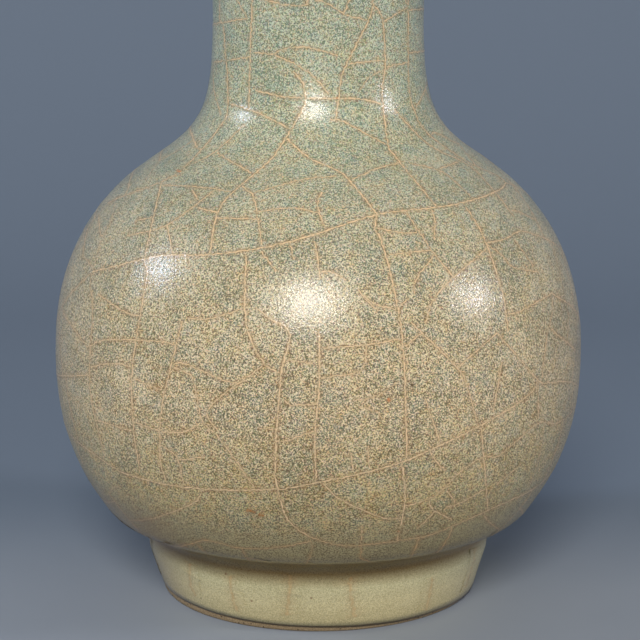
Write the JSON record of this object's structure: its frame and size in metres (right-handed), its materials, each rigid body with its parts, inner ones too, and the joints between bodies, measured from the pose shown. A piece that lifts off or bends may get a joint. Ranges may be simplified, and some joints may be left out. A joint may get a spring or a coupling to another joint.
{
  "type": "bottle vase",
  "caption": "Celadon bottle vase: a crackle-glazed globe on a low foot ring, with a wide straight neck and a rounded lip.",
  "frame": {"origin": "centre of the flat face under the foot ring that the vase rests on", "axes": "+Z along the vase's axis of turning, from the foot up through the mouth"},
  "size_m": [0.16, 0.16, 0.232],
  "materials": {
    "stoneware": "fired iron-bearing stoneware clay, red-brown where it is bare, fine grit",
    "slip": "fired slip of the same clay, matt",
    "crackled_celadon": "grey-green celadon glaze with ochre speckle and stained crackle, satin gloss",
    "plain_celadon": "grey-green celadon glaze with fine crackle, glossy"
  },
  "bodies": {
    "root": {"foot_ring": "stoneware", "foot_slip": "slip", "lower_body": "stoneware", "equator_slip": "slip", "upper_body": "stoneware", "neck_slip": "slip", "neck": "stoneware", "outer_glaze": "crackled_celadon", "inner_glaze": "plain_celadon", "base_glaze": "plain_celadon"}
  },
  "joints": []
}
